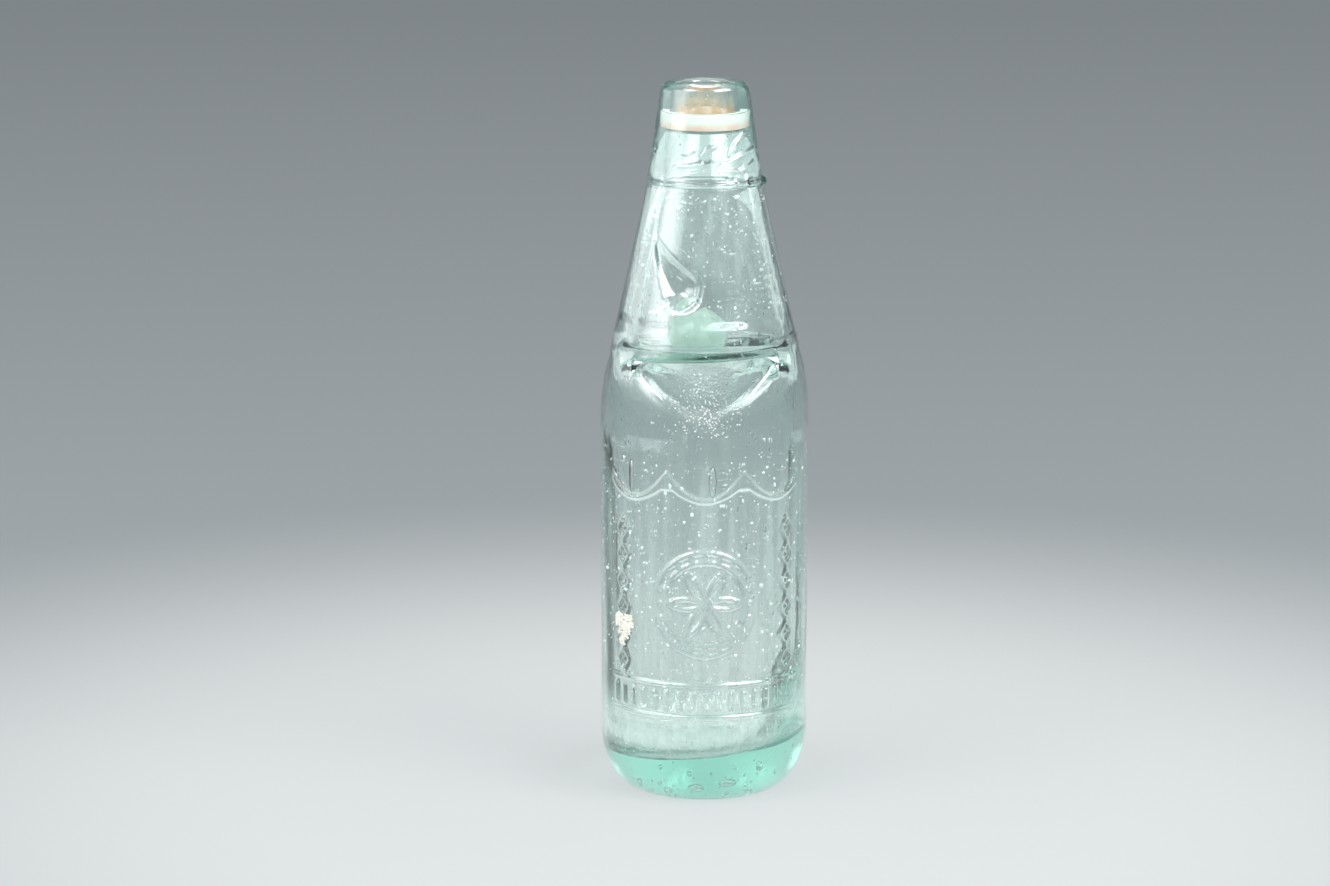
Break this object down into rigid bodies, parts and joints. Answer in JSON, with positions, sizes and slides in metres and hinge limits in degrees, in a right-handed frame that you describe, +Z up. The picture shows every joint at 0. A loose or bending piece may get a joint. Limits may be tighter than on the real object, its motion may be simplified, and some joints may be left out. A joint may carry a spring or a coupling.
{
  "type": "marble stopper bottle",
  "caption": "Tapered glass drink bottle with a pinched waist, a loose glass marble that seals against a rubber ring in the applied lip, and a teardrop lug in the neck.",
  "frame": {"origin": "centre of the base, on the plane that the bottle stands on", "axes": "+Z up the bottle's axis to the mouth, -Y the front with the teardrop lug, the pinches on -Y and +Y"},
  "size_m": [0.066, 0.066, 0.226],
  "materials": {
    "bottle_glass": "gloss",
    "lip_glass": "gloss",
    "ring_rubber": "matte",
    "marble_glass": "gloss"
  },
  "bodies": {
    "bottle": {"glass_body": "bottle_glass", "applied_lip": "lip_glass", "sealing_ring": "ring_rubber"},
    "marble": {"marble": "marble_glass"}
  },
  "joints": [
    {"name": "marble_rise", "type": "slide", "parent": "bottle", "child": "marble", "axis": [0.0342, 0, 0.9994], "range_m": [0, 0.05842]}
  ]
}
